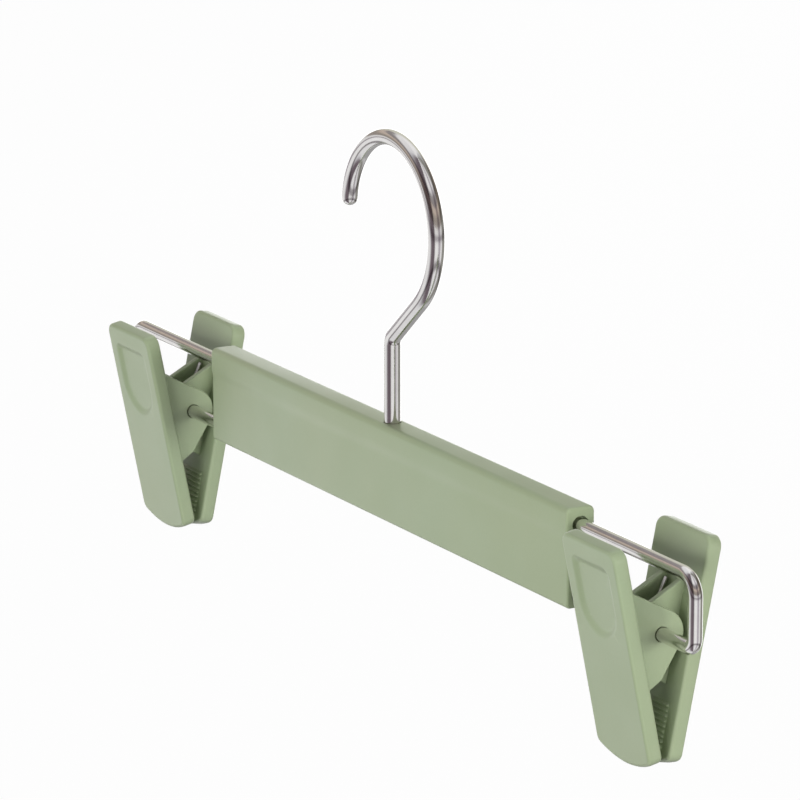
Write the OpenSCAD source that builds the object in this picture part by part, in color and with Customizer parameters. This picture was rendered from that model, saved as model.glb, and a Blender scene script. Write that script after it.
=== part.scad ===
// Skirt hanger: a moulded bar on a swivelling wire hook, with a sprung clip sliding on a wire at each end.
// Millimetres. X runs along the bar, Y along the rail, Z is up.
// The origin is the point inside the top of the hook that rests on the rail.

/* [Bar] */
// Length of the bar
bar_len = 190; // [150:1:260]
// Height of the bar
bar_h = 26; // [24:0.5:34]
// Thickness of the bead along the top of the bar
bead_t = 8.2; // [8:0.1:10]
// Radius along the two top edges of the bead
bead_corner_r = 1.7; // [1:0.1:3]
// Thickness of the flat panel below the bead
panel_t = 7.4; // [7:0.1:8]
// Height of the bead, down to where it starts to narrow
bead_h = 6; // [5:0.5:8]
// Height of the slope between the bead and the panel
blend_h = 2; // [1:0.5:4]
// Radius along the bottom edges of the bar
bottom_r = 1; // [0.5:0.1:2]

/* [Hook] */
// Diameter of the hook wire
hook_wire_d = 4.4; // [3.8:0.1:4.8]
// Radius of the inside of the hook, where the rail lies
hook_inner_r = 20.8; // [16:0.2:24]
// Height of the centre of the hook's arc above the bar
hook_rise = 52.6; // [50:0.2:64]
// Height of the neck's corner above the bar
neck_rise = 22.6; // [16:0.2:24]
// Radius of the bend in the neck, on the wire's centre line
neck_bend_r = 4; // [3:0.5:10]
// Angle at which the arc ends, counted from the horizontal on the neck's side
hook_tip_angle = 172; // [150:1:200]
// Depth of the stem's hole below the top of the bar
stem_hole_depth = 14; // [10:0.5:18]
// Outer diameter of the retaining ring
ring_d = 5.9; // [5.6:0.1:6.1]
// Height of the retaining ring
ring_h = 2; // [1.5:0.5:3]
// Length of stem that stands out below the ring
stem_tail = 1; // [0.5:0.5:2]

/* [Clip wires] */
// Diameter of the clip wires
clip_wire_d = 3.6; // [3:0.1:4]
// How far each wire stands out from the end of the bar
wire_reach = 55; // [48:0.5:75]
// Depth of the upper leg's centre below the top of the bar
upper_leg_depth = 4.7; // [4.2:0.1:6]
// Distance between the centres of the upper and the lower leg
leg_spacing = 18.1; // [17:0.1:19]
// Radius of the upper corner, on the wire's centre line
upper_corner_r = 5.5; // [3:0.5:8]
// Radius of the lower corner, on the wire's centre line
lower_corner_r = 2.8; // [2.2:0.1:4]
// Length of each leg pressed into the bar
socket_depth = 18; // [12:1:30]

/* [Clips] */
// Width of a clip
clip_w = 24.8; // [22:0.2:30]
// Distance from the end of the bar to the middle of a clip
clip_place = 28.6; // [20:0.1:32]
// Thickness of a jaw plate
plate_t = 4; // [3:0.1:4.5]
// Distance from the clip's pivot to the inner face of a jaw plate
pivot_to_plate = 7; // [6.8:0.1:9]
// Length of a jaw plate above the pivot
handle_len = 25.5; // [22:0.5:30]
// Length of a jaw plate below the pivot, at the middle of its curved end
grip_len = 33.4; // [30:0.2:40]
// Radius of the curved end
grip_arc_r = 28; // [20:1:60]
// Radius of the corners of the curved end
grip_corner_r = 2.5; // [1:0.5:5]
// Radius of the top corners of the handles
handle_corner_r = 3; // [1:0.5:5]
// Gap between the two plates at the tips of a closed clip
tip_gap = 0.4; // [0.3:0.1:3]
// Width of the thumb recess
recess_w = 17; // [10:0.5:18]
// Length of the thumb recess
recess_len = 20; // [12:0.5:22]
// Depth of the thumb recess
recess_depth = 0.8; // [0.4:0.1:1.5]
// Distance from the top of the handle to the thumb recess
recess_top = 5; // [1.5:0.5:6]

/* [Ears and teeth] */
// Radius of the round nose of each ear around the pivot
ear_nose_r = 6.2; // [5:0.1:6.4]
// Thickness of each ear
ear_t = 1.8; // [1.2:0.1:2.4]
// Distance from the side of the front jaw to the outer face of its ears
ear_inset = 2.6; // [0.5:0.1:3]
// Width of the space between the ears of the back jaw, where the spring sits
spring_space = 6.6; // [6.4:0.1:9]
// Height along the plate at which the top of an ear starts
ear_top = 13.7; // [10:0.1:16]
// Depth along the plate at which the bottom of an ear ends
ear_bottom = 13.3; // [11:0.1:15]
// Depth of an ear's lower corner straight below the pivot
ear_drop = 11.7; // [9:0.1:13]
// Running clearance of the ears round the wire
pivot_clearance = 0.1; // [0.04:0.02:0.1]
// Gap between the ears and spacers of the two jaws
ear_gap = 0.3; // [0.2:0.05:0.6]
// Radius of the round spacers inside the front jaw's ears
spacer_r = 4.2; // [3:0.1:5]
// Distance between two teeth
tooth_pitch = 1.3; // [1:0.1:2]
// Height of a tooth
tooth_h = 0.6; // [0.3:0.05:0.65]
// Width of the rows of teeth
tooth_w = 16.5; // [10:0.5:18]
// Number of teeth on each jaw
tooth_count = 10; // [4:1:10]
// Distance from the end of the grip to the first tooth
tooth_start = 3; // [2.6:0.1:6]

/* [Springs] */
// Diameter of the spring wire
spring_wire_d = 1.1; // [0.8:0.1:1.2]
// Radius of the coil, on the wire's centre line
coil_r = 3.1; // [2.8:0.1:3.8]
// Number of turns in the coil
coil_turns = 5; // [3:1:5]
// Length of each arm of the spring
spring_arm = 13; // [9:0.5:15]
// Gap between the end of each arm and the handle that it presses on
arm_gap = 0.2; // [0.1:0.05:0.4]

/* [Hidden] */
// Facets of a round shape, of the curved end of a jaw and of the spring wire
$fn = 64;
arc_facets = 128;
coil_facets = 32;

plastic_colour = [0.65, 0.70, 0.58];
chrome_colour = [0.80, 0.80, 0.81];
steel_colour = [0.55, 0.56, 0.58];

// Interference of a pressed wire, and running clearance of the stem in its hole, both on the radius
press = 0.02;
stem_clearance = 0.05;
// Room left at the blind end of a socket, and round the retaining ring
socket_room = 1;
ring_room = 0.1;
// How much thinner the hook's tip and bend and the springs' arms are than the wire they grow from, on the radius
end_step = 0.02;
// How many degrees the hook's bend reaches into its stem
bend_lap = 2;
// How far a shape reaches into, or past, the one that it joins or cuts
joint = 1;
over = 0.5;

// Hook
hook_r = hook_inner_r + hook_wire_d / 2;
hook_z = -hook_inner_r;
bar_z = hook_z - hook_rise;
neck_z = bar_z + neck_rise;
neck_drop = hook_z - neck_z;
neck_lean = asin(hook_r / neck_drop);
neck_len = sqrt(neck_drop * neck_drop - hook_r * hook_r);
neck_bend_len = neck_bend_r * tan(neck_lean / 2);
ring_z = bar_z - stem_hole_depth - ring_h;
stem_end_z = ring_z - stem_tail;

// Clip wires
upper_leg_z = bar_z - upper_leg_depth;
pivot_z = upper_leg_z - leg_spacing;
wire_end_x = bar_len / 2 + wire_reach - clip_wire_d / 2;
leg_start_x = bar_len / 2 - socket_depth;

// Clips
clip_x = bar_len / 2 + clip_place;
// Tilt of each plate that leaves half the tip gap between its tip and the middle
tip_reach = norm([pivot_to_plate, grip_len]);
plate_tilt = acos(tip_gap / 2 / tip_reach) - atan2(grip_len, pivot_to_plate);
pivot_bore_r = clip_wire_d / 2 + pivot_clearance;
front_ear_x = clip_w / 2 - ear_inset - ear_t;
back_ear_x = spring_space / 2;
spacer_x = back_ear_x + ear_t + ear_gap;
grip_arc_z = grip_arc_r - grip_len;
grip_corner_x = clip_w / 2 - grip_corner_r;
grip_corner_reach = grip_arc_r - grip_corner_r;
grip_corner_z = grip_arc_z - sqrt(grip_corner_reach * grip_corner_reach - grip_corner_x * grip_corner_x);

// Springs
// How far each turn of a coil reaches into the next, so that the coil is one solid
turn_overlap = 0.03;
coil_pitch = spring_wire_d - turn_overlap;
coil_half = coil_pitch * (coil_turns - 1) / 2;
arm_reach = norm([coil_r, spring_arm]);
arm_stop = pivot_to_plate - spring_wire_d / 2 - arm_gap;
arm_start = acos(arm_stop / arm_reach) - atan2(spring_arm, coil_r) - plate_tilt;

// Point of the back jaw's inner face, v along the plate from the pivot and w into the plate, as [y, z]
function face(v, w) = [
    (pivot_to_plate + w) * cos(plate_tilt) + v * sin(plate_tilt),
    v * cos(plate_tilt) - (pivot_to_plate + w) * sin(plate_tilt)
];

// Point where the line from p touches a circle of radius r round the pivot, on the side that s gives
function touch(p, r, s) =
    let(a = atan2(p[1], p[0]) + s * acos(r / norm(p)))
    [r * cos(a), r * sin(a)];

// Straight wire between two points [x, z]
module rod(from, to, d) {
    run = to - from;
    translate([from[0], 0, from[1]])
        rotate([0, atan2(run[0], run[1]), 0])
            cylinder(h = norm(run), d = d);
}

// Wire bent round the origin in the XY plane, from +X through an angle
module turn(r, angle, d) {
    rotate_extrude(angle = angle)
        translate([r, 0])
            circle(d = d);
}

// Wire bent round a centre [x, z], from one angle through another, counted from +X towards +Z
module bend(centre, r, from, angle, d) {
    translate([centre[0], 0, centre[1]])
        rotate([90, 0, 0])
            rotate([0, 0, from])
                turn(r, angle, d);
}

// Places a clip's shape, drawn round its pivot, at the left (-1) or the right (1) end
module at_clip(end) {
    translate([end * clip_x, 0, pivot_z])
        children();
}

// Outline of the bar across its length, as [y, z] from the top of the bar
module bar_outline() {
    top_y = bead_t / 2 - bead_corner_r;
    bottom_y = panel_t / 2 - bottom_r;
    polygon([
        [-top_y, 0],
        [-bead_t / 2, -bead_corner_r],
        [-bead_t / 2, -bead_h],
        [-panel_t / 2, -bead_h - blend_h],
        [-panel_t / 2, bottom_r - bar_h],
        [-bottom_y, -bar_h],
        [bottom_y, -bar_h],
        [panel_t / 2, bottom_r - bar_h],
        [panel_t / 2, -bead_h - blend_h],
        [bead_t / 2, -bead_h],
        [bead_t / 2, -bead_corner_r],
        [top_y, 0]
    ]);
    for (side = [-1, 1]) {
        translate([side * top_y, -bead_corner_r])
            circle(r = bead_corner_r);
        translate([side * bottom_y, bottom_r - bar_h])
            circle(r = bottom_r);
    }
}

// Holes for one leg of each clip wire, at height z
module leg_sockets(z) {
    for (end = [-1, 1])
        translate([end * (leg_start_x - socket_room), 0, z])
            rotate([0, end * 90, 0])
                cylinder(h = socket_depth + socket_room + over, r = clip_wire_d / 2 - press);
}

module bar() {
    color(plastic_colour)
        difference() {
            translate([-bar_len / 2, 0, bar_z])
                rotate([90, 0, 90])
                    linear_extrude(bar_len)
                        bar_outline();
            leg_sockets(upper_leg_z);
            leg_sockets(pivot_z);
            translate([0, 0, bar_z - stem_hole_depth - over])
                cylinder(h = stem_hole_depth + 2 * over, r = hook_wire_d / 2 + stem_clearance);
            translate([0, 0, bar_z - bar_h - over])
                cylinder(h = bar_h - stem_hole_depth + over, r = ring_d / 2 + ring_room);
        }
}

module hook() {
    turn_z = neck_z - neck_bend_len;
    neck_run = neck_len - neck_bend_len;
    hook_angle = neck_lean + hook_tip_angle;
    bend_d = hook_wire_d - 2 * end_step;
    bend_angle = neck_lean + bend_lap;
    color(chrome_colour)
        translate([0, 0, turn_z]) {
            mirror([0, 0, 1])
                cylinder(h = turn_z - stem_end_z, d = hook_wire_d);
            // The bend is a hair thinner than the stem and reaches into it, so that the two overlap
            translate([neck_bend_r, 0, 0])
                rotate([90, 0, 0])
                    rotate([0, 0, 180 - neck_lean]) {
                        turn(neck_bend_r, bend_angle, bend_d);
                        translate([neck_bend_r, 0, 0])
                            rotate([90, 0, 0])
                                cylinder(h = neck_run, d = hook_wire_d);
                        translate([neck_bend_r + hook_r, -neck_run, 0])
                            rotate([0, 0, 180]) {
                                turn(hook_r, hook_angle, hook_wire_d);
                                rotate([0, 0, hook_angle])
                                    translate([hook_r, 0, 0])
                                        sphere(d = hook_wire_d - 2 * end_step);
                            }
                    }
        }
}

module hook_retaining_ring() {
    color(steel_colour)
        translate([0, 0, ring_z])
            difference() {
                cylinder(h = ring_h, d = ring_d);
                translate([0, 0, -over])
                    cylinder(h = ring_h + 2 * over, r = hook_wire_d / 2 - press);
            }
}

// Bent wire at the right end of the bar
module clip_wire() {
    color(chrome_colour) {
        rod([leg_start_x, upper_leg_z], [wire_end_x - upper_corner_r, upper_leg_z], clip_wire_d);
        bend([wire_end_x - upper_corner_r, upper_leg_z - upper_corner_r], upper_corner_r, 0, 90, clip_wire_d);
        rod([wire_end_x, pivot_z + lower_corner_r], [wire_end_x, upper_leg_z - upper_corner_r], clip_wire_d);
        bend([wire_end_x - lower_corner_r, pivot_z + lower_corner_r], lower_corner_r, -90, 90, clip_wire_d);
        rod([leg_start_x, pivot_z], [wire_end_x - lower_corner_r, pivot_z], clip_wire_d);
    }
}

module left_clip_wire() {
    mirror([1, 0, 0])
        clip_wire();
}

module right_clip_wire() {
    clip_wire();
}

// Outline of a jaw plate seen from its outer face, as [x, v] from the pivot
module plate_outline() {
    corner_x = clip_w / 2 - handle_corner_r;
    for (side = [-1, 1]) {
        translate([side * corner_x, handle_len - handle_corner_r])
            circle(r = handle_corner_r);
        translate([side * grip_corner_x, grip_corner_z])
            circle(r = grip_corner_r);
    }
    translate([-corner_x, handle_len - handle_corner_r - joint])
        square([2 * corner_x, handle_corner_r + joint]);
    translate([-clip_w / 2, grip_corner_z])
        square([clip_w, handle_len - handle_corner_r - grip_corner_z]);
    intersection() {
        half = grip_corner_x * grip_arc_r / grip_corner_reach;
        translate([0, grip_arc_z])
            circle(r = grip_arc_r, $fn = arc_facets);
        translate([-half, -grip_len - over])
            square([2 * half, grip_corner_z + grip_len + over]);
    }
}

// Outline of the thumb recess, open at neither end
module recess_outline() {
    top = handle_len - recess_top;
    translate([-recess_w / 2, top - recess_len + recess_w / 2])
        square([recess_w, recess_len - recess_w / 2]);
    translate([0, top - recess_len + recess_w / 2])
        circle(d = recess_w);
}

// Back jaw's plate with its thumb recess and its teeth, the teeth moved along by a share of their pitch
module plate(tooth_shift) {
    rotate([-plate_tilt, 0, 0]) {
        difference() {
            translate([0, pivot_to_plate + plate_t, 0])
                rotate([90, 0, 0])
                    linear_extrude(plate_t)
                        plate_outline();
            translate([0, pivot_to_plate + plate_t + over, 0])
                rotate([90, 0, 0])
                    linear_extrude(recess_depth + over)
                        recess_outline();
        }
        for (i = [0 : tooth_count - 1])
            translate([-tooth_w / 2, pivot_to_plate, tooth_start - grip_len + (i + tooth_shift) * tooth_pitch])
                rotate([90, 0, 90])
                    linear_extrude(tooth_w)
                        polygon([
                            [over, -tooth_pitch / 2],
                            [0, -tooth_pitch / 2],
                            [-tooth_h, 0],
                            [0, tooth_pitch / 2],
                            [over, tooth_pitch / 2]
                        ]);
    }
}

// Side outline of a back jaw's ear, as [y, z] from the pivot
module ear_outline() {
    foot = [0, -ear_drop];
    circle(r = ear_nose_r);
    polygon([
        face(ear_top, joint),
        face(ear_top, 0),
        touch(face(ear_top, 0), ear_nose_r, 1),
        [0, 0],
        touch(foot, ear_nose_r, -1),
        foot,
        face(-ear_bottom, 0),
        face(-ear_bottom, joint)
    ]);
}

// Pair of ears whose inner faces lie x from the middle of the clip
module ears(x) {
    for (side = [0, 1])
        mirror([side, 0, 0])
            translate([x, 0, 0])
                rotate([90, 0, 90])
                    linear_extrude(ear_t)
                        ear_outline();
}

// Hole along the pivot, right through a clip
module pivot_bore() {
    translate([-clip_w / 2 - over, 0, 0])
        rotate([0, 90, 0])
            cylinder(h = clip_w + 2 * over, r = pivot_bore_r);
}

module front_jaw() {
    color(plastic_colour)
        mirror([0, 1, 0])
            difference() {
                union() {
                    plate(0);
                    ears(front_ear_x);
                    for (side = [0, 1])
                        mirror([side, 0, 0])
                            translate([spacer_x, 0, 0])
                                rotate([0, 90, 0])
                                    cylinder(h = front_ear_x - spacer_x + joint, r = spacer_r);
                }
                pivot_bore();
            }
}

module back_jaw() {
    color(plastic_colour)
        difference() {
            union() {
                plate(0.5);
                ears(back_ear_x);
            }
            pivot_bore();
        }
}

// Arm on the back jaw's side, leaving the coil x from its middle
module spring_arm_wire(x) {
    translate([x, 0, 0])
        rotate([arm_start, 0, 0])
            translate([0, coil_r, 0])
                cylinder(h = spring_arm, d = spring_wire_d - 2 * end_step);
}

module spring() {
    color(steel_colour) {
        rotate([0, 90, 0])
            rotate_extrude()
                for (i = [0 : coil_turns - 1])
                    translate([coil_r, i * coil_pitch - coil_half])
                        circle(d = spring_wire_d, $fn = coil_facets);
        spring_arm_wire(-coil_half);
        mirror([0, 1, 0])
            spring_arm_wire(coil_half);
    }
}

module left_front_jaw() {
    at_clip(-1)
        front_jaw();
}

module left_back_jaw() {
    at_clip(-1)
        back_jaw();
}

module left_spring() {
    at_clip(-1)
        spring();
}

module right_front_jaw() {
    at_clip(1)
        front_jaw();
}

module right_back_jaw() {
    at_clip(1)
        back_jaw();
}

module right_spring() {
    at_clip(1)
        spring();
}

bar();
hook();
hook_retaining_ring();
left_clip_wire();
right_clip_wire();
left_front_jaw();
left_back_jaw();
left_spring();
right_front_jaw();
right_back_jaw();
right_spring();
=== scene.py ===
import math

import bmesh
import bpy
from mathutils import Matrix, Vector


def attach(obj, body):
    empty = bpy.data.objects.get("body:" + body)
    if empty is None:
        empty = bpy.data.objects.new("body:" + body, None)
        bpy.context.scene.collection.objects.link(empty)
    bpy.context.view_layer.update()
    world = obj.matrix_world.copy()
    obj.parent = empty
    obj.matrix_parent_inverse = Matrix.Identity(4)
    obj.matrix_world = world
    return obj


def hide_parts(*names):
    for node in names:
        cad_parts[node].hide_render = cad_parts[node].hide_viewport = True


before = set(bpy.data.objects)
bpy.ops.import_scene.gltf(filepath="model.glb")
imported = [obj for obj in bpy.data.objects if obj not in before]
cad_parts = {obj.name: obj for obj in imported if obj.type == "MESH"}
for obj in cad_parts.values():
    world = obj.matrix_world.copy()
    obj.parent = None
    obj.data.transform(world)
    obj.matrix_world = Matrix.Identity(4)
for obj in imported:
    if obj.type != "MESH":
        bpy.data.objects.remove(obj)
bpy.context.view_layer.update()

MM = 0.001


# ---- Sizes that repeat the part's own ----

# Bar: a bead along its top, a flat panel below and a slope between the two
BAR_LEN = 190.0
BAR_H = 26.0
BEAD_T = 8.2
BEAD_H = 6.0
BEAD_R = 1.7
BLEND_H = 2.0
PANEL_T = 7.4
BOTTOM_R = 1.0

# Hook: the arc, the bend in its neck, and the stem, which goes down through its hole and the ring below
HOOK_WIRE = 4.4
HOOK_INNER_R = 20.8
HOOK_R = HOOK_INNER_R + HOOK_WIRE / 2
NECK_R = 4.0
TIP_ANGLE = 172.0
HOOK_RISE = 52.6
NECK_RISE = 22.6
HOLE_DEPTH = 14.0
RING_D = 5.9
RING_H = 2.0
STEM_TAIL = 1.0
HOOK_Z = -HOOK_INNER_R
BAR_Z = HOOK_Z - HOOK_RISE
NECK_Z = BAR_Z + NECK_RISE
STEM_END = BAR_Z - HOLE_DEPTH - RING_H - STEM_TAIL

# Clip wires: an upper and a lower leg, with a round corner at the end of each
WIRE = 3.6
WIRE_REACH = 55.0
UPPER_DEPTH = 4.7
LEG_SPACING = 18.1
UPPER_R = 5.5
LOWER_R = 2.8
SOCKET_DEPTH = 18.0
UPPER_Z = BAR_Z - UPPER_DEPTH
PIVOT_Z = UPPER_Z - LEG_SPACING
WIRE_X = BAR_LEN / 2 + WIRE_REACH - WIRE / 2
LEG_START = BAR_LEN / 2 - SOCKET_DEPTH

# Jaws: a plate that runs up from the pivot as a handle and down from it as a grip
CLIP_W = 24.8
CLIP_PLACE = 28.6
CLIP_X = BAR_LEN / 2 + CLIP_PLACE
PLATE_T = 4.0
TO_PLATE = 7.0
HANDLE = 25.5
HANDLE_R = 3.0
GRIP = 33.4
GRIP_R = 2.5
ARC_R = 28.0
TIP_GAP = 0.4
TILT = math.acos(TIP_GAP / 2 / math.hypot(TO_PLATE, GRIP)) - math.atan2(GRIP, TO_PLATE)

# Thumb recess in a jaw's handle
RECESS_W = 17.0
RECESS_LEN = 20.0
RECESS_TOP = 5.0
RECESS_DEPTH = 0.8

# Ears, which turn on the wire, and the round spacers between the ears of the two jaws
NOSE_R = 6.2
EAR_T = 1.8
EAR_INSET = 2.6
EAR_GAP = 0.3
EAR_TOP = 13.7
EAR_BOTTOM = 13.3
EAR_DROP = 11.7
SPACER_R = 4.2
SPRING_SPACE = 6.6
PIVOT_CLEARANCE = 0.1
FRONT_EAR = CLIP_W / 2 - EAR_INSET - EAR_T
BACK_EAR = SPRING_SPACE / 2
BORE_R = WIRE / 2 + PIVOT_CLEARANCE

# Teeth across the inner face of a grip
TOOTH_PITCH = 1.3
TOOTH_H = 0.6
TOOTH_W = 16.5
TEETH = 10
TOOTH_START = 3.0

# Springs
SPRING_D = 1.1
COIL_R = 3.1
COIL_TURNS = 5
TURN_OVERLAP = 0.03
COIL_HALF = (SPRING_D - TURN_OVERLAP) * (COIL_TURNS - 1) / 2
SPRING_ARM = 13.0
ARM_GAP = 0.2


# ---- Sizes of the finish, which the part leaves out ----

# Radii of the edges: along the bar's slope, round its ends, and of a jaw's plate, ears and spacers
SLOPE_R = 10.0
BAR_END_R = 0.6
PLATE_EDGE_R = 0.9
EAR_EDGE_R = 0.28
SPACER_EDGE_R = 0.2
# How far inside its rounded edge a flat face has its first ring of points
CAP_STEP = 0.15
# Bevel round a jaw's bore, and that of a wire's flat end as a share of the wire's radius
BORE_BEVEL = 0.15
BEVEL_SHARE = 0.12
# Countersink round each leg in the bar's ends: its radius at the face and at its floor, and its depth
MOUTH_R = 2.35
MOUTH_FLOOR_R = 2.15
MOUTH_DEPTH = 1.6
# Room round the stem in the mouth of its hole, the depth of that mouth, and the room round the ring
STEM_ROOM = 0.16
STEM_MOUTH = 6.0
RING_ROOM = 0.1
# How far a cutter stands out of what it cuts
OVER = 2.0
# Places along the bar, on either side of the stem's hole, at which its long faces are divided
HOLE_BELTS = (-9.0, -4.5, 4.5, 9.0)
# How far the CAD model's facets lie inside its round wire at the top of the hook
FACET = 0.005
# Points of a wire's straight stretches: inside and outside the bar, and short of a bend
WIRE_IN = 1.0
WIRE_OUT = 4.0
STEM_IN = 2.0
STEM_OUT = 4.0
NECK_LEAD = 4.0
UPPER_LEAD = 3.0
CORNER_LEAD = 2.0
# Angles of the rings that round off the end of a wire
TIP_RINGS = (18, 36, 54, 70, 82)
# Radius of the thumb recess's top corners, and where its soft rim starts outside its edge, and its width
RECESS_R = 2.5
RIM_START = 0.6
RIM_WIDTH = 2.8
# Rings of points along the rim of the recess, by their distance outside its edge
RIM_RINGS = (0.7, 0.45, 0.2, -0.05, -0.3, -0.55, -0.8, -1.05, -1.3, -1.55, -1.8, -2.1, -2.5)
# How far an ear's root reaches into the plate, a spacer into its ear and the teeth into the plate
EAR_ROOT = 1.0
SPACER_ROOT = 0.5
TOOTH_ROOT = 0.5
# Radius of the lower corner of an ear
EAR_CORNER_R = 1.0
# One tooth, as heights at shares of the pitch from its middle
TOOTH_PROFILE = ((0.0, -0.5), (0.42, -0.16), (0.55, -0.06), (TOOTH_H, 0.0), (0.55, 0.06), (0.42, 0.16))
# Length of the slope at each end of a tooth, and the share of its height that is left at the very end
TOOTH_SLOPE = 0.25
TOOTH_END_SHARE = 0.3
# Angles in degrees above which an edge is drawn sharp, on mouldings and on wires
SHARP = 32
WIRE_SHARP = 50


# ---- Outlines ----

# Points closer than this are one point
SAME = 1e-4
# The largest share of a side that one fillet takes, and the least that a corner's mitre is divided by
FILLET_SHARE = 0.49
MITRE_LEAST = 0.4


def arc(centre, r, start, end, steps):
    """Points round a centre, angles in degrees, both ends included."""
    out = []
    for i in range(steps + 1):
        a = math.radians(start + (end - start) * i / steps)
        out.append((centre[0] + r * math.cos(a), centre[1] + r * math.sin(a)))
    return out


def circle(centre, r, sides=48):
    """Closed outline of a circle."""
    return arc(centre, r, 0, 360 - 360 / sides, sides - 1)


def rounded(corners, steps=5):
    """Closed outline from (x, y, radius) corners, each one filleted by its radius."""
    out = []
    n = len(corners)
    for i, (x, y, r) in enumerate(corners):
        if r <= 0:
            out.append((x, y))
            continue
        p, a, b = Vector((x, y)), Vector(corners[i - 1][:2]), Vector(corners[(i + 1) % n][:2])
        u, v = (a - p).normalized(), (b - p).normalized()
        half = math.acos(max(-1.0, min(1.0, u.dot(v)))) / 2
        reach = min(r / math.tan(half), (a - p).length * FILLET_SHARE, (b - p).length * FILLET_SHARE)
        r = reach * math.tan(half)
        centre = p + (u + v).normalized() * (r / math.sin(half))
        s, e = p + u * reach - centre, p + v * reach - centre
        turn = math.atan2(s.x * e.y - s.y * e.x, s.dot(e))
        from_angle = math.atan2(s.y, s.x)
        for k in range(steps + 1):
            t = from_angle + turn * k / steps
            out.append((centre.x + r * math.cos(t), centre.y + r * math.sin(t)))
    return out


def tidy(points, step=None):
    """Counterclockwise outline without doubled points, and with long sides cut to at most a step."""
    out = []
    for p in points:
        if not out or math.dist(p, out[-1]) > SAME:
            out.append(p)
    if math.dist(out[0], out[-1]) < SAME:
        out.pop()
    if step:
        dense = []
        for p, q in zip(out, out[1:] + out[:1]):
            cuts = max(1, math.ceil(math.dist(p, q) / step))
            for k in range(cuts):
                dense.append((p[0] + (q[0] - p[0]) * k / cuts, p[1] + (q[1] - p[1]) * k / cuts))
        out = dense
    area = sum(a[0] * b[1] - b[0] * a[1] for a, b in zip(out, out[1:] + out[:1]))
    return out if area > 0 else out[::-1]


def inset(points, d):
    """The outline moved inwards by d."""
    n = len(points)
    out = []
    for i, p in enumerate(points):
        a, b = points[i - 1], points[(i + 1) % n]
        e = Vector((p[0] - a[0], p[1] - a[1])).normalized()
        f = Vector((b[0] - p[0], b[1] - p[1])).normalized()
        m = Vector((e.y + f.y, -e.x - f.x))
        m /= max(MITRE_LEAST, 1 + e.dot(f))
        out.append((p[0] - m.x * d, p[1] - m.y * d))
    return out


# ---- Mesh building ----
# A place function gives the point in space of an outline's point at a height w.

def ring(bm, points, place, w):
    return [bm.verts.new(Vector(place(p[0], p[1], w)) * MM) for p in points]


def bridge(bm, a, b):
    """Faces between two rings with as many points."""
    n = len(a)
    for i in range(n):
        j = (i + 1) % n
        bm.faces.new((a[i], a[j], b[j], b[i]))


def loft(bm, rings):
    """Faces from each ring to the next."""
    for a, b in zip(rings, rings[1:]):
        bridge(bm, a, b)


def fillet_rings(bm, outline, place, w, r, towards, steps=4):
    """Rings of a rounded edge, from the side wall to just inside the flat face at height w.

    towards is 1 for the upper face and -1 for the lower one.
    """
    rings = []
    for k in range(steps + 1):
        t = math.radians(90 * k / steps)
        height = w - towards * r * (1 - math.sin(t))
        rings.append(ring(bm, inset(outline, r * (1 - math.cos(t))), place, height))
    rings.append(ring(bm, inset(outline, r + CAP_STEP), place, w))
    return rings


def slab(bm, outline, place, w0, w1, r, cap):
    """Plate between two heights with rounded edges, flat below. The cap function closes it above."""
    low = fillet_rings(bm, outline, place, w0, r, -1)
    high = fillet_rings(bm, outline, place, w1, r, 1)
    bridge(bm, low[0], high[0])
    loft(bm, low)
    loft(bm, high)
    bm.faces.new(low[-1])
    cap(bm, high[-1])


def bored_slab(bm, outline, place, w0, w1, r, bore):
    """Plate with a round hole about (0, 0), its flat faces running from the outline to the hole."""
    ends = []
    for w, towards in ((w0, -1), (w1, 1)):
        rings = fillet_rings(bm, outline, place, w, r, towards, steps=3)
        loft(bm, rings)
        angles = [math.atan2(p[1], p[0]) for p in inset(outline, r + CAP_STEP)]
        lip_r = bore + BORE_BEVEL
        lip = ring(bm, [(lip_r * math.cos(a), lip_r * math.sin(a)) for a in angles], place, w)
        wall_w = w - towards * BORE_BEVEL
        wall = ring(bm, [(bore * math.cos(a), bore * math.sin(a)) for a in angles], place, wall_w)
        loft(bm, [rings[-1], lip, wall])
        ends.append((rings[0], wall))
    bridge(bm, ends[0][0], ends[1][0])
    bridge(bm, ends[0][1], ends[1][1])


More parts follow.
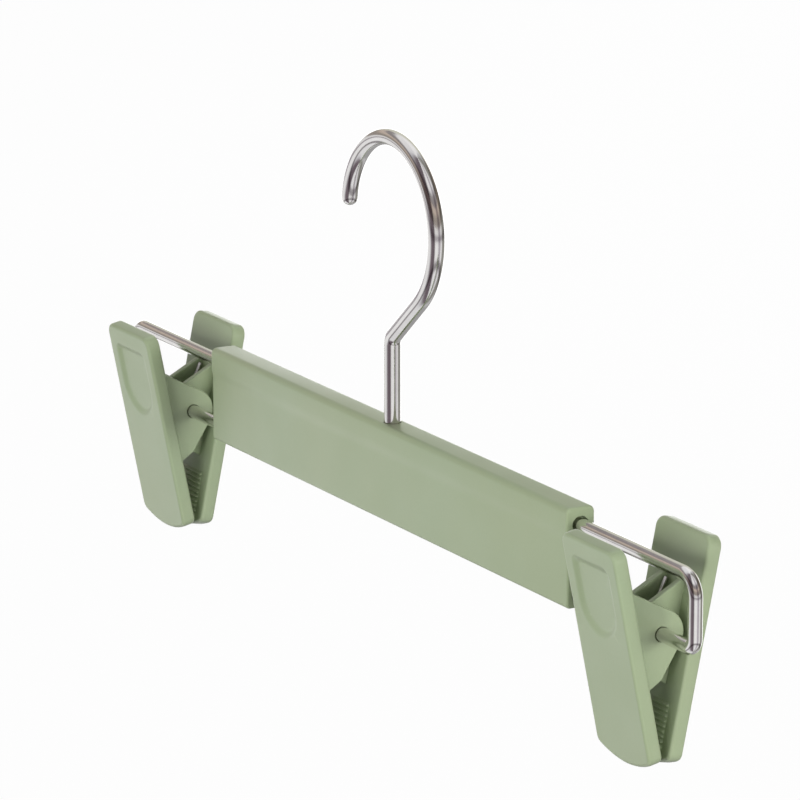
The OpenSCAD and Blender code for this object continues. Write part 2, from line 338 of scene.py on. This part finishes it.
def tube(bm, path, r, sides, round_start=False, round_end=False):
    """Round wire along points in space. Its UVs run along the wire and round it, in metres times 100."""
    uv = bm.loops.layers.uv.verify()
    uv_per_mm = 0.1
    points = [Vector(p) for p in path]
    before, after = points[:1] + points[:-1], points[1:] + points[-1:]
    tangents = [(b - a).normalized() for a, b in zip(before, after)]
    # A station is a point of the wire, its direction, its radius and its distance along the wire
    stations = []
    s = 0.0
    for p, t, a in zip(points, tangents, before):
        s += (p - a).length
        stations.append((p, t, r, s))
    tips = []
    for at, sign, is_round in ((0, -1, round_start), (-1, 1, round_end)):
        p, t, _, s = stations[at]
        if is_round:
            tip = []
            for a in map(math.radians, TIP_RINGS):
                tip.append((p + t * sign * r * math.sin(a), t, r * math.cos(a), s + sign * r * math.sin(a)))
        else:
            bevel = r * BEVEL_SHARE
            tip = [(p, t, r - bevel, s)]
            stations[at] = (p - t * sign * bevel, t, r, s)
        tips.append(tip)
    stations = tips[0][::-1] + stations + tips[1]
    # The cross-section is carried along without a twist, from any direction that isn't along the wire
    side = Vector((0, 1, 0)) if abs(tangents[0].y) < 0.9 else Vector((1, 0, 0))
    rings, along = [], []
    for p, t, radius, s in stations:
        side = (side - t * side.dot(t)).normalized()
        other = t.cross(side)
        section = []
        for k in range(sides):
            a = 2 * math.pi * k / sides
            point = p + side * radius * math.cos(a) + other * radius * math.sin(a)
            section.append(bm.verts.new(point * MM))
        rings.append(section)
        along.append(s)
    for i in range(len(rings) - 1):
        for k in range(sides):
            n = (k + 1) % sides
            f = bm.faces.new((rings[i][k], rings[i][n], rings[i + 1][n], rings[i + 1][k]))
            corners = ((along[i], k), (along[i], k + 1), (along[i + 1], k + 1), (along[i + 1], k))
            for loop, (s, q) in zip(f.loops, corners):
                loop[uv].uv = (s * uv_per_mm, q / sides * 2 * math.pi * r * uv_per_mm)
    bm.faces.new(rings[0])
    bm.faces.new(rings[-1])


def new_object(name, data):
    """Object in the scene, for a mesh, a lamp or a camera."""
    obj = bpy.data.objects.new(name, data)
    bpy.context.scene.collection.objects.link(obj)
    return obj


def finish_mesh(bm, name, body, material, replaces=(), sharp=SHARP):
    """Object from a finished mesh, which rides a body and takes the place of the part's own solids."""
    bmesh.ops.recalc_face_normals(bm, faces=bm.faces)
    mesh = bpy.data.meshes.new(name)
    bm.to_mesh(mesh)
    bm.free()
    mesh.shade_smooth()
    mesh.set_sharp_from_angle(angle=math.radians(sharp))
    mesh.materials.append(material)
    obj = new_object(name, mesh)
    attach(obj, body)
    if replaces:
        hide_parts(*replaces)
    return obj


# ---- Materials ----

# Green of the plastic, as it drifts between two tints, and a paler one for the mottle and for the painted
# highlight along rounded edges
SAGE = (0.336, 0.414, 0.253)
SAGE_WARM = (0.344, 0.410, 0.244)
SAGE_PALE = (0.50, 0.55, 0.39)
# How the lines from drawing are stretched along a wire and packed round it
DRAWN_LINES = (0.8, 160.0, 1.0)


def material(name):
    m = bpy.data.materials.new(name)
    m.use_nodes = True
    nt = m.node_tree
    return m, nt, nt.nodes["Principled BSDF"]


def node(nt, kind, **values):
    """New node with its properties or inputs set by name."""
    n = nt.nodes.new(kind)
    for key, value in values.items():
        if hasattr(n, key):
            setattr(n, key, value)
        else:
            n.inputs[key.replace("_", " ")].default_value = value
    return n


def noise(nt, vector, scale, detail=2.0, roughness=0.5):
    n = node(nt, "ShaderNodeTexNoise", Scale=scale, Detail=detail, Roughness=roughness)
    nt.links.new(vector, n.inputs["Vector"])
    return n.outputs["Fac"]


def spread(nt, value, low, high, from_low=0.3, from_high=0.7):
    """Maps a value's range onto another one. The range given by default is what a noise mostly fills."""
    n = node(nt, "ShaderNodeMapRange", From_Min=from_low, From_Max=from_high, To_Min=low, To_Max=high)
    nt.links.new(value, n.inputs["Value"])
    return n.outputs["Result"]


def mix_colour(nt, factor, a, b):
    """Mix of two colours. Each argument is a value or another node's output."""
    n = nt.nodes.new("ShaderNodeMix")
    n.data_type = "RGBA"
    for socket, value in ((n.inputs[0], factor), (n.inputs[6], a), (n.inputs[7], b)):
        if hasattr(value, "is_linked"):
            nt.links.new(value, socket)
        elif isinstance(value, tuple):
            socket.default_value = (*value, 1.0)
        else:
            socket.default_value = value
    return n.outputs[2]


def sage_plastic():
    """Moulded plastic under a satin coat: slight drift of tint, fine mottle, a painted highlight that makes
    its rounded edges paler, and a fine grain.
    """
    m, nt, shader = material("sage_plastic")
    at = nt.nodes.new("ShaderNodeTexCoord").outputs["Object"]
    tint = spread(nt, noise(nt, at, scale=22.0, detail=3.0), low=0.0, high=1.0)
    speckle = spread(nt, noise(nt, at, scale=1400.0, detail=3.0, roughness=0.6), low=0.0, high=0.06)
    colour = mix_colour(nt, speckle, mix_colour(nt, tint, SAGE, SAGE_WARM), SAGE_PALE)
    geometry = nt.nodes.new("ShaderNodeNewGeometry")
    # Painted highlight: edges that stand out, found by the mesh's pointiness, are mixed towards the pale
    # green
    edge = spread(nt, geometry.outputs["Pointiness"], low=0.0, high=0.22, from_low=0.52, from_high=0.62)
    nt.links.new(mix_colour(nt, edge, colour, SAGE_PALE), shader.inputs["Base Color"])
    rough = spread(nt, noise(nt, at, scale=75.0, detail=4.0), low=0.36, high=0.47)
    nt.links.new(rough, shader.inputs["Roughness"])
    grain = node(nt, "ShaderNodeBump", Strength=0.22, Distance=0.00006)
    nt.links.new(noise(nt, at, scale=3200.0, detail=2.0, roughness=0.6), grain.inputs["Height"])
    flow = node(nt, "ShaderNodeBump", Strength=0.10, Distance=0.0006)
    nt.links.new(noise(nt, at, scale=45.0, detail=1.0), flow.inputs["Height"])
    nt.links.new(flow.outputs["Normal"], grain.inputs["Normal"])
    nt.links.new(grain.outputs["Normal"], shader.inputs["Normal"])
    shader.inputs["IOR"].default_value = 1.48
    shader.inputs["Specular IOR Level"].default_value = 0.5
    shader.inputs["Coat Weight"].default_value = 0.6
    shader.inputs["Coat Roughness"].default_value = 0.28
    return m


def drawn_metal(name, colour, dull, rough, streak):
    """Plated or bare wire: fine lines along its length from drawing, and a faint cloudy tarnish."""
    m, nt, shader = material(name)
    coord = nt.nodes.new("ShaderNodeTexCoord")
    stretch = node(nt, "ShaderNodeMapping", Scale=DRAWN_LINES)
    nt.links.new(coord.outputs["UV"], stretch.inputs["Vector"])
    line = noise(nt, stretch.outputs["Vector"], scale=1.0, detail=3.0, roughness=0.6)
    cloud = spread(nt, noise(nt, coord.outputs["Object"], scale=240.0, detail=3.0), low=0.0, high=1.0)
    nt.links.new(mix_colour(nt, cloud, colour, dull), shader.inputs["Base Color"])
    nt.links.new(spread(nt, line, *rough), shader.inputs["Roughness"])
    bump = node(nt, "ShaderNodeBump", Strength=streak, Distance=0.00003)
    nt.links.new(line, bump.inputs["Height"])
    nt.links.new(bump.outputs["Normal"], shader.inputs["Normal"])
    shader.inputs["Metallic"].default_value = 1.0
    return m


PLASTIC = sage_plastic()
CHROME = drawn_metal(
    "chrome_wire", colour=(0.80, 0.785, 0.775), dull=(0.74, 0.725, 0.715), rough=(0.10, 0.17), streak=0.10)
STEEL = drawn_metal(
    "spring_steel", colour=(0.62, 0.61, 0.60), dull=(0.50, 0.49, 0.47), rough=(0.22, 0.34), streak=0.15)


# ---- Bar ----

def bar_outline():
    """Outline of the bar across its length, as (y, z) from the top of the bar."""
    left = [
        (-BEAD_T / 2, 0, BEAD_R),
        (-BEAD_T / 2, -BEAD_H, SLOPE_R),
        (-PANEL_T / 2, -BEAD_H - BLEND_H, SLOPE_R),
        (-PANEL_T / 2, -BAR_H, BOTTOM_R)
    ]
    right = [(-y, z, r) for y, z, r in left[::-1]]
    return tidy(rounded(left + right, steps=8))


def peg(r, z0, z1):
    """Upright closed cylinder round the stem's axis, which cuts a hole."""
    bm = bmesh.new()
    a, b = (ring(bm, circle((0, 0), r), lambda x, y, z: (x, y, z), z) for z in (z0, z1))
    bridge(bm, a, b)
    bm.faces.new(a)
    bm.faces.new(b)
    bmesh.ops.recalc_face_normals(bm, faces=bm.faces)
    mesh = bpy.data.meshes.new("cutter")
    bm.to_mesh(mesh)
    bm.free()
    return new_object("cutter", mesh)


def drill(obj, cutters):
    """Cuts holes into a finished object and removes the cutters."""
    for cutter in cutters:
        cut = obj.modifiers.new("hole", "BOOLEAN")
        cut.operation, cut.solver, cut.object = "DIFFERENCE", "EXACT", cutter
    bpy.context.view_layer.update()
    depsgraph = bpy.context.evaluated_depsgraph_get()
    mesh = bpy.data.meshes.new_from_object(obj.evaluated_get(depsgraph))
    obj.modifiers.clear()
    obj.data = mesh
    mesh.set_sharp_from_angle(angle=math.radians(SHARP))
    for cutter in cutters:
        bpy.data.objects.remove(cutter)


def bar():
    """The moulded bar, with a shallow countersink round each wire at its ends."""
    bm = bmesh.new()
    outline = bar_outline()
    half = BAR_LEN / 2

    def place(y, z, x):
        return (x, y, BAR_Z + z)

    low = fillet_rings(bm, outline, place, -half, BAR_END_R, -1)
    high = fillet_rings(bm, outline, place, half, BAR_END_R, 1)
    loft(bm, [low[0]] + [ring(bm, outline, place, x) for x in HOLE_BELTS] + [high[0]])
    for rings, end in ((low, -1), (high, 1)):
        loft(bm, rings)
        face = rings[-1]
        rim = [bm.edges.get(pair) for pair in zip(face, face[1:] + face[:1])]
        for z in (UPPER_Z - BAR_Z, PIVOT_Z - BAR_Z):
            mouth = ring(bm, circle((0, z), MOUTH_R), place, end * half)
            floor = ring(bm, circle((0, z), MOUTH_FLOOR_R), place, end * (half - MOUTH_DEPTH))
            bridge(bm, mouth, floor)
            bm.faces.new(floor)
            rim += [bm.edges.get(pair) for pair in zip(mouth, mouth[1:] + mouth[:1])]
        bmesh.ops.triangle_fill(bm, use_beauty=True, edges=rim)
    obj = finish_mesh(bm, "bar_moulding", "hanger", PLASTIC, ["bar"])
    stem_hole = peg(HOOK_WIRE / 2 + STEM_ROOM, BAR_Z - STEM_MOUTH, BAR_Z + OVER)
    pocket = peg(RING_D / 2 + RING_ROOM, BAR_Z - BAR_H - OVER, BAR_Z - HOLE_DEPTH)
    drill(obj, [stem_hole, pocket])


# ---- Wires ----

def hook_wire():
    """The hook from the end of its stem up through the neck and round the arc to its tip."""
    drop = HOOK_Z - NECK_Z
    lean = math.asin(HOOK_R / drop)
    turn_z = NECK_Z - NECK_R * math.tan(lean / 2)
    lean_deg = math.degrees(lean)
    path = [(0, STEM_END), (0, BAR_Z - STEM_IN), (0, BAR_Z + STEM_OUT), (0, turn_z - NECK_LEAD)]
    path += arc((NECK_R, turn_z), NECK_R, 180, 180 - lean_deg, steps=20)
    curve = arc((0, HOOK_Z), HOOK_R, -lean_deg, TIP_ANGLE, steps=120)
    (x0, z0), (x1, z1) = path[-1], curve[0]
    path += [(x0 + (x1 - x0) * share, z0 + (z1 - z0) * share) for share in (0.25, 0.75)]
    bm = bmesh.new()
    tube(bm, [(x, 0, z) for x, z in path + curve], HOOK_WIRE / 2 - FACET, sides=48, round_end=True)
    finish_mesh(bm, "hook_wire", "hook", CHROME, ["hook"], WIRE_SHARP)


def clip_wire(side, name, cad):
    """Bent wire at one end of the bar, from the inner end of its upper leg round to that of the lower one."""
    inside, outside = BAR_LEN / 2 - WIRE_IN, BAR_LEN / 2 + WIRE_OUT
    upper_x, upper_z = WIRE_X - UPPER_R, UPPER_Z - UPPER_R
    lower_x, lower_z = WIRE_X - LOWER_R, PIVOT_Z + LOWER_R
    path = [(x, UPPER_Z) for x in (LEG_START, inside, outside, upper_x - UPPER_LEAD)]
    path += arc((upper_x, upper_z), UPPER_R, 90, 0, steps=24)
    path += [(WIRE_X, upper_z - CORNER_LEAD), (WIRE_X, lower_z + CORNER_LEAD)]
    path += arc((lower_x, lower_z), LOWER_R, 0, -90, steps=20)
    path += [(x, PIVOT_Z) for x in (lower_x - CORNER_LEAD, outside, inside, LEG_START)]
    bm = bmesh.new()
    tube(bm, [(side * x, 0, z) for x, z in path], WIRE / 2, sides=40)
    finish_mesh(bm, name, "hanger", CHROME, [cad], WIRE_SHARP)


# ---- Jaws ----
# On a plate, u runs across it, v up along it from the pivot and w outwards from its inner face.

def plate_outline():
    """Outline of a jaw's plate, as (u, v)."""
    grip_x = CLIP_W / 2 - GRIP_R
    arc_z = ARC_R - GRIP
    corner_z = arc_z - math.sqrt((ARC_R - GRIP_R) ** 2 - grip_x ** 2)
    end = math.degrees(math.atan2(corner_z - arc_z, grip_x))
    top_x, top_z = CLIP_W / 2 - HANDLE_R, HANDLE - HANDLE_R
    points = arc((top_x, top_z), HANDLE_R, 0, 90, steps=10)
    points += arc((-top_x, top_z), HANDLE_R, 90, 180, steps=10)
    points += arc((-grip_x, corner_z), GRIP_R, 180, 180 - end, steps=12)
    points += arc((0, arc_z), ARC_R, 180 - end, 360 + end, steps=40)
    points += arc((grip_x, corner_z), GRIP_R, end, 0, steps=12)
    return tidy(points, step=0.7)


def inside_recess(u, v):
    """How far a point lies inside the thumb recess, negative outside it."""
    top = HANDLE - RECESS_TOP
    half = RECESS_W / 2
    middle = top - RECESS_LEN + half
    if v < middle:
        return half - math.hypot(u, v - middle)
    du, dv = abs(u) - (half - RECESS_R), v - (top - RECESS_R)
    return RECESS_R - math.hypot(max(du, 0), max(dv, 0)) - min(max(du, dv), 0)


def smooth(t):
    """Rises from 0 to 1 without a crease at either end."""
    t = max(0.0, min(1.0, t))
    return t * t * t * (t * (6 * t - 15) + 10)


def thumb_cap(place, w, rim_points):
    """Outer face of a plate: rings from its edge to the edge of the thumb recess, and on down into it.

    rim_points is the outline of that face, as (u, v).
    """
    centre = (0.0, HANDLE - RECESS_TOP - RECESS_LEN / 2)

    def at(way, reach):
        return centre[0] + way[0] * reach, centre[1] + way[1] * reach

    def recess_edge(way, length):
        """Distance from the centre at which the recess ends in a direction, found by halving."""
        low, high = 0.0, length
        for _ in range(30):
            middle = (low + high) / 2
            if inside_recess(*at(way, middle)) > 0:
                low = middle
            else:
                high = middle
        return low

    def cap(bm, rim):
        rays = []
        for p in rim_points:
            length = math.dist(p, centre)
            way = ((p[0] - centre[0]) / length, (p[1] - centre[1]) / length)
            rays.append((way, length, recess_edge(way, length)))
        outer, inner = RIM_RINGS[0], RIM_RINGS[-1]
        reaches = [[e + outer + (n - e - outer) * share for _, n, e in rays] for share in (0.75, 0.5, 0.25)]
        reaches += [[e + offset for _, _, e in rays] for offset in RIM_RINGS]
        reaches += [[(e + inner) * share for _, _, e in rays] for share in (0.7, 0.4, 0.15)]
        rows = [rim]
        for row_reaches in reaches:
            row = []
            for (way, _, _), reach in zip(rays, row_reaches):
                u, v = at(way, reach)
                depth = RECESS_DEPTH * smooth((inside_recess(u, v) + RIM_START) / RIM_WIDTH)
                row.append(bm.verts.new(Vector(place(u, v, w - depth)) * MM))
            rows.append(row)
        loft(bm, rows)
        bm.faces.new(rows[-1])

    return cap


def face_point(v, w):
    """Point of a plate, seen from the side, as (y, z) from the pivot."""
    c, s = math.cos(TILT), math.sin(TILT)
    return ((TO_PLATE + w) * c + v * s, v * c - (TO_PLATE + w) * s)


def ear_outline():
    """Side outline of an ear, as (y, z) from the pivot."""
    top, low, foot = face_point(EAR_TOP, 0), face_point(-EAR_BOTTOM, 0), (0.0, -EAR_DROP)
    root_top, root_low = face_point(EAR_TOP, EAR_ROOT), face_point(-EAR_BOTTOM, EAR_ROOT)

    def touch(p, s):
        """Angle at which the line from p touches the nose."""
        return math.degrees(math.atan2(p[1], p[0]) + s * math.acos(NOSE_R / math.hypot(*p)))

    nose = arc((0, 0), NOSE_R, touch(top, 1), touch(foot, -1) + 360, steps=24)
    corners = [(*p, 0) for p in [root_low, root_top, top] + nose] + [(*foot, EAR_CORNER_R), (*low, 0)]
    return tidy(rounded(corners), step=1.6)


def teeth(bm, on_plate, shift):
    """Rows of teeth on a plate's inner face, moved along it by a share of their pitch."""
    first = TOOTH_START - GRIP
    points = [(-TOOTH_ROOT, first + (shift - 0.5) * TOOTH_PITCH)]
    for i in range(TEETH):
        middle = first + (i + shift) * TOOTH_PITCH
        points += [(h, middle + share * TOOTH_PITCH) for h, share in TOOTH_PROFILE]
    last = first + (TEETH - 0.5 + shift) * TOOTH_PITCH
    points += [(0.0, last), (-TOOTH_ROOT, last)]
    end, full = TOOTH_W / 2, TOOTH_W / 2 - TOOTH_SLOPE
    rows = []
    for u, share in ((-end, TOOTH_END_SHARE), (-full, 1.0), (full, 1.0), (end, TOOTH_END_SHARE)):
        row = [on_plate(u, v, -h * share if h > 0 else -h) for h, v in points]
        rows.append([bm.verts.new(Vector(p) * MM) for p in row])
    loft(bm, rows)
    bm.faces.new(rows[0])
    bm.faces.new(rows[-1])


def jaw(end, clip, side, which, ear_x, shift):
    """One moulded jaw. end is -1 for the left clip, side is -1 for the jaw on the viewer's side."""
    bm = bmesh.new()

    def on_plate(u, v, w):
        y, z = face_point(v, w)
        return (end * CLIP_X + u, side * y, PIVOT_Z + z)

    outline = plate_outline()
    cap = thumb_cap(on_plate, PLATE_T, inset(outline, PLATE_EDGE_R + CAP_STEP))
    slab(bm, outline, on_plate, 0.0, PLATE_T, PLATE_EDGE_R, cap)
    for hand in (-1, 1):
        def on_ear(y, z, w, hand=hand):
            return (end * CLIP_X + hand * w, side * y, PIVOT_Z + z)

        bored_slab(bm, ear_outline(), on_ear, ear_x, ear_x + EAR_T, EAR_EDGE_R, BORE_R)
        if side < 0:
            spacer_x = BACK_EAR + EAR_T + EAR_GAP
            spacer = circle((0, 0), SPACER_R)
            bored_slab(bm, spacer, on_ear, spacer_x, ear_x + SPACER_ROOT, SPACER_EDGE_R, BORE_R)
    teeth(bm, on_plate, shift)
    body = clip + "_" + which
    finish_mesh(bm, body + "_jaw_moulding", body, PLASTIC, [body + "_jaw"])


# ---- Springs ----

def spring(end, clip):
    """Coil on the slider, with each of its two arms riding the jaw that it presses."""
    stop = TO_PLATE - SPRING_D / 2 - ARM_GAP
    lean = math.acos(stop / math.hypot(COIL_R, SPRING_ARM)) - math.atan2(SPRING_ARM, COIL_R) - TILT
    first, last = math.pi - lean, 2 * math.pi * (COIL_TURNS - 1) + lean
    steps = 160
    coil = []
    for i in range(steps + 1):
        a = first + (last - first) * i / steps
        x = end * CLIP_X + COIL_HALF - 2 * COIL_HALF * i / steps
        coil.append((x, COIL_R * math.cos(a), PIVOT_Z + COIL_R * math.sin(a)))
    bm = bmesh.new()
    tube(bm, coil, SPRING_D / 2, sides=16)
    name, slider = clip + "_spring_coil", clip + "_slider"
    finish_mesh(bm, name, slider, STEEL, [clip + "_spring"], WIRE_SHARP)
    for side, which in ((-1, "front"), (1, "back")):
        root_y, root_z = side * COIL_R * math.cos(lean), PIVOT_Z + COIL_R * math.sin(lean)
        root = (end * CLIP_X - side * COIL_HALF, root_y, root_z)
        way = (0.0, -side * math.sin(lean), math.cos(lean))
        path = [[root[k] + way[k] * s for k in range(3)] for s in (0.0, 1.0, SPRING_ARM * 0.5, SPRING_ARM)]
        bm = bmesh.new()
        tube(bm, path, SPRING_D / 2, sides=16, round_start=True)
        name, body = clip + "_spring_" + which + "_arm", clip + "_" + which
        finish_mesh(bm, name, body, STEEL, sharp=WIRE_SHARP)


bar()
hook_wire()
clip_wire(-1, "left_wire", "left_clip_wire")
clip_wire(1, "right_wire", "right_clip_wire")
for end, clip in ((-1, "left"), (1, "right")):
    jaw(end, clip, -1, "front", FRONT_EAR, shift=0.0)
    jaw(end, clip, 1, "back", BACK_EAR, shift=0.5)
    spring(end, clip)
retaining_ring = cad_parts["hook_retaining_ring"]
retaining_ring.data.materials.clear()
retaining_ring.data.materials.append(STEEL)


# ---- Studio ----
# Lengths are in metres from here on.

def grey(level):
    return (level, level, level)


WHITE = grey(1.0)

# What shiny surfaces mirror: bands by height, as the sine of the elevation, and cards by azimuth in degrees
ROOM_BANDS = [
    (-1.0, (0.90, 0.90, 0.91)), (-0.70, (0.92, 0.92, 0.93)), (-0.64, (0.30, 0.28, 0.29)),
    (-0.56, (0.30, 0.28, 0.29)), (-0.49, WHITE), (-0.20, grey(0.95)), (-0.15, (0.38, 0.35, 0.38)),
    (-0.09, (0.38, 0.35, 0.37)), (-0.05, grey(0.85)), (0.05, (0.85, 0.84, 0.83)),
    (0.11, (0.33, 0.29, 0.26)), (0.27, (0.36, 0.32, 0.28)), (0.34, (0.60, 0.50, 0.42)),
    (0.43, (0.62, 0.53, 0.46)), (0.49, (0.28, 0.25, 0.25)), (0.64, (0.34, 0.32, 0.32)),
    (0.72, (0.92, 0.92, 0.93)), (1.0, (0.88, 0.88, 0.89))
]
ROOM_CARDS = [
    (-180, WHITE), (-128, grey(0.95)), (-118, (0.80, 0.80, 0.82)), (-104, (0.35, 0.32, 0.34)),
    (-95, (0.20, 0.16, 0.18)), (-60, (0.16, 0.13, 0.15)), (-54, (0.30, 0.27, 0.28)), (-44, WHITE),
    (-8, WHITE), (2, (0.55, 0.52, 0.56)), (22, (0.50, 0.47, 0.51)), (30, grey(0.95)), (46, grey(0.95)),
    (56, (0.36, 0.35, 0.33)), (90, (0.30, 0.30, 0.26)), (104, grey(0.60)), (118, grey(0.80)),
    (130, WHITE), (180, WHITE)
]
# The bright wall behind the hanger, in bands by height, and how far round it reaches
WALL_BANDS = [
    (-1.0, grey(0.20)), (-0.50, grey(0.20)), (-0.36, grey(0.95)), (0.07, WHITE), (0.18, (0.34, 0.34, 0.30)),
    (0.55, (0.33, 0.33, 0.28)), (0.80, grey(0.50)), (1.0, grey(0.50))
]
WALL_REACH = [
    (-180, grey(0.0)), (110, grey(0.0)), (120, WHITE), (164, WHITE), (172, grey(0.0)), (180, grey(0.0))
]
WALL_LEVEL = 2.0
# What lights the matt surfaces from all round, in bands by height
FILL_BANDS = [
    (-1.0, grey(0.30)), (-0.45, grey(0.45)), (-0.15, WHITE), (0.30, WHITE), (0.50, grey(0.12)),
    (1.0, grey(0.10))
]
# The lamps: name, azimuth, elevation, distance, size and power. They face the middle of the hanger.
LAMPS = [
    ("side", 12, 2, 1.8, (1.1, 0.7), 23.0),
    ("front", -76, 2, 1.5, (1.4, 0.8), 17.5),
    ("back", 110, 12, 1.8, (1.2, 0.8), 10.0),
    ("top", 140, 55, 1.8, (0.8, 0.8), 7.5)
]
MIDDLE = Vector((0.0, 0.0, -0.065))
# The floor: its height, half its side, its colour to light and to the camera, and its glow to the camera
FLOOR_Z = -0.21
FLOOR_HALF = 9
FLOOR_SHADE = grey(0.30)
FLOOR_SEEN = grey(0.90)
FLOOR_GLOW = 0.96
# Where the camera stands and the point that it looks at, its lens and the width of its sensor in millimetres
CAMERA_AT = Vector((1.2247, -0.6861, 0.2928))
CAMERA_TO = Vector((0.004, 0.0, -0.0666))
LENS = 250.0
SENSOR = 36.0


def face_along(obj, way):
    """Turns a lamp or a camera so that it looks along a direction."""
    obj.rotation_mode = "QUATERNION"
    obj.rotation_quaternion = way.to_track_quat("-Z", "Y")


def ramp(nt, value, low, high, stops):
    """Colours by a value between two limits, from (value, colour) stops."""
    share = spread(nt, value, low=0.0, high=1.0, from_low=low, from_high=high)
    colours = nt.nodes.new("ShaderNodeValToRGB")
    elements = colours.color_ramp.elements
    elements.remove(elements[1])
    for i, (at, colour) in enumerate(stops):
        at = (at - low) / (high - low)
        if i:
            elements.new(at)
        elements[i].position, elements[i].color = at, (*colour, 1.0)
    nt.links.new(share, colours.inputs["Fac"])
    return colours.outputs["Color"]


def surroundings():
    """A room that only shiny surfaces mirror, a ring of light for the matt ones, and white for the camera."""
    world = bpy.data.worlds.new("studio")
    bpy.context.scene.world = world
    world.use_nodes = True
    nt = world.node_tree
    way = nt.nodes.new("ShaderNodeTexCoord").outputs["Generated"]
    xyz = nt.nodes.new("ShaderNodeSeparateXYZ")
    nt.links.new(way, xyz.inputs[0])
    turn = node(nt, "ShaderNodeMath", operation="ARCTAN2")
    nt.links.new(xyz.outputs["Y"], turn.inputs[0])
    nt.links.new(xyz.outputs["X"], turn.inputs[1])

    def by_height(stops):
        return ramp(nt, xyz.outputs["Z"], -1.0, 1.0, stops)

    def round_about(stops):
        """Colours by azimuth, from (degrees, colour) stops."""
        stops = [(math.radians(a), colour) for a, colour in stops]
        return ramp(nt, turn.outputs[0], -math.pi, math.pi, stops)

    room = node(nt, "ShaderNodeMix", data_type="RGBA", blend_type="MULTIPLY")
    room.inputs[0].default_value = 1.0
    nt.links.new(by_height(ROOM_BANDS), room.inputs[6])
    nt.links.new(round_about(ROOM_CARDS), room.inputs[7])
    wall = node(nt, "ShaderNodeVectorMath", operation="SCALE", Scale=WALL_LEVEL)
    nt.links.new(by_height(WALL_BANDS), wall.inputs[0])
    mirrored = mix_colour(nt, round_about(WALL_REACH), room.outputs[2], wall.outputs[0])
    path = nt.nodes.new("ShaderNodeLightPath")
    soft = mix_colour(nt, path.outputs["Is Glossy Ray"], by_height(FILL_BANDS), mirrored)
    seen = mix_colour(nt, path.outputs["Is Camera Ray"], soft, WHITE)
    through = mix_colour(nt, path.outputs["Is Transmission Ray"], seen, WHITE)
    nt.links.new(through, nt.nodes["Background"].inputs["Color"])


def lamp(name, azimuth, elevation, distance, size, power):
    """Soft lamp that faces the object. The bare wires mirror the room's colours in its place."""
    data = bpy.data.lights.new(name, "AREA")
    data.shape, data.size, data.size_y, data.energy = "RECTANGLE", size[0], size[1], power
    obj = new_object(name, data)
    a, e = math.radians(azimuth), math.radians(elevation)
    way = Vector((math.cos(a) * math.cos(e), math.sin(a) * math.cos(e), math.sin(e)))
    obj.location = MIDDLE + way * distance
    face_along(obj, -way)
    obj.visible_glossy = False


def floor_material():
    """Pale ground that keeps a little shadow, glows to the camera and can't be seen from below."""
    m, nt, shader = material("floor")
    path = nt.nodes.new("ShaderNodeLightPath")
    geometry = nt.nodes.new("ShaderNodeNewGeometry")
    shade = mix_colour(nt, path.outputs["Is Camera Ray"], FLOOR_SHADE, FLOOR_SEEN)
    nt.links.new(shade, shader.inputs["Base Color"])
    shader.inputs["Roughness"].default_value = 0.9
    glow = node(nt, "ShaderNodeEmission", Strength=1.0)
    weight = node(nt, "ShaderNodeMath", operation="MULTIPLY")
    weight.inputs[1].default_value = FLOOR_GLOW
    nt.links.new(path.outputs["Is Camera Ray"], weight.inputs[0])
    clear = nt.nodes.new("ShaderNodeBsdfTransparent")

    def mix_shaders(factor, a, b):
        n = nt.nodes.new("ShaderNodeMixShader")
        for socket, value in zip(n.inputs, (factor, a, b)):
            nt.links.new(value, socket)
        return n.outputs[0]

    lit = mix_shaders(weight.outputs[0], shader.outputs[0], glow.outputs[0])
    surface = mix_shaders(geometry.outputs["Backfacing"], lit, clear.outputs[0])
    nt.links.new(surface, nt.nodes["Material Output"].inputs["Surface"])
    return m


def ground():
    corners = [(x * FLOOR_HALF, y * FLOOR_HALF, FLOOR_Z) for x, y in ((-1, -1), (1, -1), (1, 1), (-1, 1))]
    mesh = bpy.data.meshes.new("floor")
    mesh.from_pydata(corners, [], [(0, 1, 2, 3)])
    mesh.materials.append(floor_material())
    floor = new_object("floor", mesh)
    floor.visible_glossy = False


def camera():
    """The photograph's own viewpoint, turned to the hanger and closed in on it."""
    data = bpy.data.cameras.new("camera")
    data.sensor_width, data.lens = SENSOR, LENS
    obj = new_object("camera", data)
    obj.location = CAMERA_AT
    face_along(obj, CAMERA_TO - CAMERA_AT)
    bpy.context.scene.camera = obj


bpy.context.scene.view_settings.view_transform = "Standard"
surroundings()
for values in LAMPS:
    lamp(*values)
ground()
camera()
